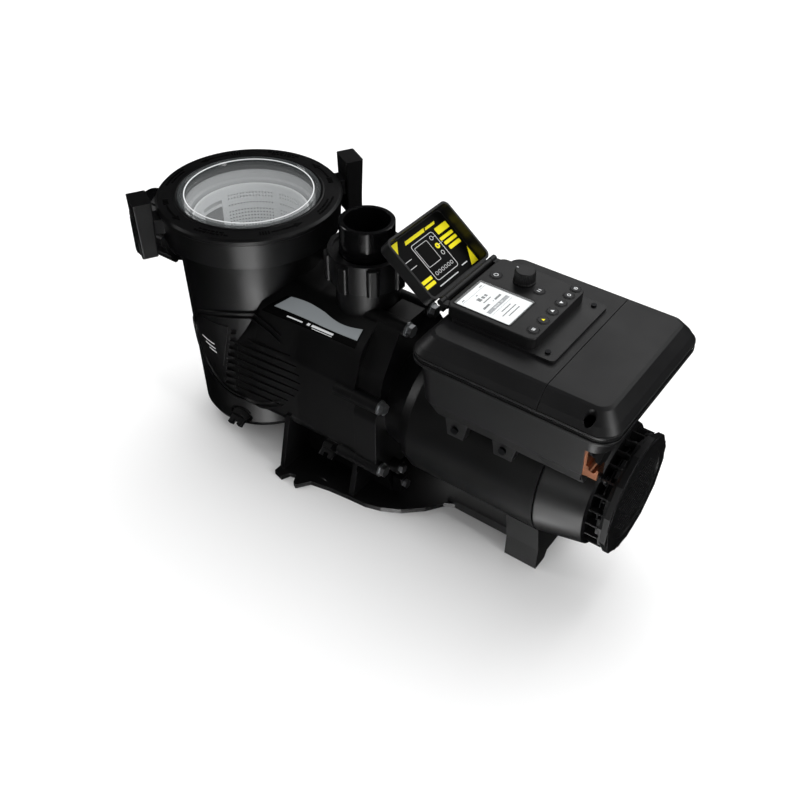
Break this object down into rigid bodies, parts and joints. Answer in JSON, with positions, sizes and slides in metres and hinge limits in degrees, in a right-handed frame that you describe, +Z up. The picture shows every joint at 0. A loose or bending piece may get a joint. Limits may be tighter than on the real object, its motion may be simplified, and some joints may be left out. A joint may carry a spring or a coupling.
{
  "type": "pool pump",
  "caption": "Self-priming pool circulation pump with a strainer pot under a clear lid, pipe unions, a finned motor and a drive box with a flip-up controller.",
  "frame": {"origin": "underside of the base, on the line of the discharge union", "axes": "+X along the motor shaft from the strainer pot to the motor, +Z up along the discharge union"},
  "size_m": [0.839, 0.3008, 0.4299],
  "materials": {
    "body_plastic": "glass-filled moulded plastic, satin",
    "ring_plastic": "moulded plastic, satin",
    "pipe_plastic": "moulded pipe plastic, half gloss",
    "clear_plastic": "clear moulded plastic",
    "display_glass": "clear window",
    "basket_plastic": "moulded plastic",
    "inner_plastic": "moulded plastic",
    "stainless": "stainless steel",
    "seal_ceramic": "ceramic and carbon",
    "seal_rubber": "moulded rubber",
    "bearing_steel": "ground steel",
    "motor_paint": "satin black paint",
    "guard_plastic": "moulded plastic",
    "laminated_steel": "stacked laminations",
    "copper": "bare copper",
    "drive_plastic": "moulded plastic, fine grain",
    "heat_sink_aluminium": "extruded aluminium",
    "circuit_board": "laminated board",
    "component_black": "component casing",
    "controller_plastic": "moulded plastic, fine grain",
    "key_rubber": "moulded keypad rubber",
    "display_face": "reflective display"
  },
  "bodies": {
    "pump": {"base": "body_plastic", "bearing_outer_races": "bearing_steel", "body_bolts": "stainless", "bonding_lug": "copper", "cable_entry_plugs": "drive_plastic", "capacitors": "component_black", "circuit_boards": "circuit_board", "controller_housing": "controller_plastic", "controller_plate": "controller_plastic", "diffuser": "inner_plastic", "display_panel": "display_face", "display_window": "display_glass", "drive_lid": "drive_plastic", "drive_screws": "stainless", "drive_tray": "drive_plastic", "fan_cover": "guard_plastic", "heat_sink": "heat_sink_aluminium", "hinge_pin": "stainless", "lid_gasket": "seal_rubber", "motor_bolts": "stainless", "motor_frame": "motor_paint", "motor_front_bell": "motor_paint", "motor_rear_bell": "motor_paint", "o_rings": "seal_rubber", "rear_foot": "seal_rubber", "rotary_encoder": "component_black", "seal_plate": "body_plastic", "seal_seat": "seal_ceramic", "stator_core": "laminated_steel", "stator_windings": "copper", "strainer_pot": "body_plastic", "terminal_block": "inner_plastic", "union_tailpieces": "pipe_plastic", "volute_housing": "body_plastic", "wiring_cover": "drive_plastic"},
    "lid": {"lid_lens": "clear_plastic"},
    "lock_ring": {"lock_ring": "ring_plastic"},
    "basket": {"basket": "basket_plastic"},
    "discharge_nut": {"discharge_union_nut": "ring_plastic"},
    "suction_nut": {"suction_union_nut": "ring_plastic"},
    "pot_drain": {"pot_drain_plug": "ring_plastic"},
    "volute_drain": {"volute_drain_plug": "ring_plastic"},
    "rotor": {"motor_shaft": "stainless", "impeller": "inner_plastic", "impeller_screw": "stainless", "seal_head": "seal_ceramic", "rotor_core": "laminated_steel", "cooling_fan": "inner_plastic", "bearing_inner_races": "bearing_steel", "bearing_balls": "bearing_steel"},
    "knob": {"control_knob": "controller_plastic"},
    "flip_cover": {"flip_cover": "controller_plastic"},
    "key_1": {"key_1": "key_rubber"},
    "key_2": {"key_2": "key_rubber"},
    "key_3": {"key_3": "key_rubber"},
    "key_4": {"key_4": "key_rubber"},
    "key_5": {"key_5": "key_rubber"},
    "key_6": {"key_6": "key_rubber"},
    "key_7": {"key_7": "key_rubber"},
    "key_8": {"key_8": "key_rubber"}
  },
  "joints": [
    {"name": "lid_lift", "type": "slide", "parent": "pump", "child": "lid", "axis": [0, 0, 1], "range_m": [0, 0.32]},
    {"name": "lock_ring_turn", "type": "hinge", "parent": "lid", "child": "lock_ring", "pos_m": [-0.204, 0, 0.37], "axis": [0, 0, 1], "range_deg": [0, 60]},
    {"name": "basket_lift", "type": "slide", "parent": "pump", "child": "basket", "axis": [0, 0, 1], "range_m": [0, 0.16]},
    {"name": "discharge_nut_turn", "type": "hinge", "parent": "pump", "child": "discharge_nut", "pos_m": [0, 0, 0.345], "axis": [0, 0, 1], "range_deg": [0, 540]},
    {"name": "suction_nut_turn", "type": "hinge", "parent": "pump", "child": "suction_nut", "pos_m": [-0.36, 0, 0.27], "axis": [-1, 0, 0], "range_deg": [0, 540]},
    {"name": "pot_drain_turn", "type": "hinge", "parent": "pump", "child": "pot_drain", "pos_m": [-0.175, -0.09, 0.048], "axis": [0.1005, -0.9344, -0.3416], "range_deg": [0, 720]},
    {"name": "volute_drain_turn", "type": "hinge", "parent": "pump", "child": "volute_drain", "pos_m": [-0.014, -0.07, 0.058], "axis": [0, -0.8, -0.6], "range_deg": [0, 720]},
    {"name": "rotor_spin", "type": "hinge", "parent": "pump", "child": "rotor", "pos_m": [0, 0, 0.161], "axis": [1, 0, 0], "continuous": true},
    {"name": "knob_turn", "type": "hinge", "parent": "pump", "child": "knob", "pos_m": [0.213, 0.034, 0.38], "axis": [0, 0, 1], "continuous": true},
    {"name": "flip_cover_hinge", "type": "hinge", "parent": "pump", "child": "flip_cover", "pos_m": [0.154, 0, 0.375], "axis": [0, 1, 0], "range_deg": [0, 143]},
    {"name": "key_1_press", "type": "slide", "parent": "pump", "child": "key_1", "axis": [0, 0, -1], "range_m": [0, 0.0008], "stiffness_N_per_m": 300},
    {"name": "key_2_press", "type": "slide", "parent": "pump", "child": "key_2", "axis": [0, 0, -1], "range_m": [0, 0.0008], "stiffness_N_per_m": 300},
    {"name": "key_3_press", "type": "slide", "parent": "pump", "child": "key_3", "axis": [0, 0, -1], "range_m": [0, 0.0008], "stiffness_N_per_m": 300},
    {"name": "key_4_press", "type": "slide", "parent": "pump", "child": "key_4", "axis": [0, 0, -1], "range_m": [0, 0.0008], "stiffness_N_per_m": 300},
    {"name": "key_5_press", "type": "slide", "parent": "pump", "child": "key_5", "axis": [0, 0, -1], "range_m": [0, 0.0008], "stiffness_N_per_m": 300},
    {"name": "key_6_press", "type": "slide", "parent": "pump", "child": "key_6", "axis": [0, 0, -1], "range_m": [0, 0.0008], "stiffness_N_per_m": 300},
    {"name": "key_7_press", "type": "slide", "parent": "pump", "child": "key_7", "axis": [0, 0, -1], "range_m": [0, 0.0008], "stiffness_N_per_m": 300},
    {"name": "key_8_press", "type": "slide", "parent": "pump", "child": "key_8", "axis": [0, 0, -1], "range_m": [0, 0.0008], "stiffness_N_per_m": 300}
  ],
  "couplings": [
    {"joint": "basket_lift", "follows": "lid_lift", "ratio": 0.5}
  ]
}
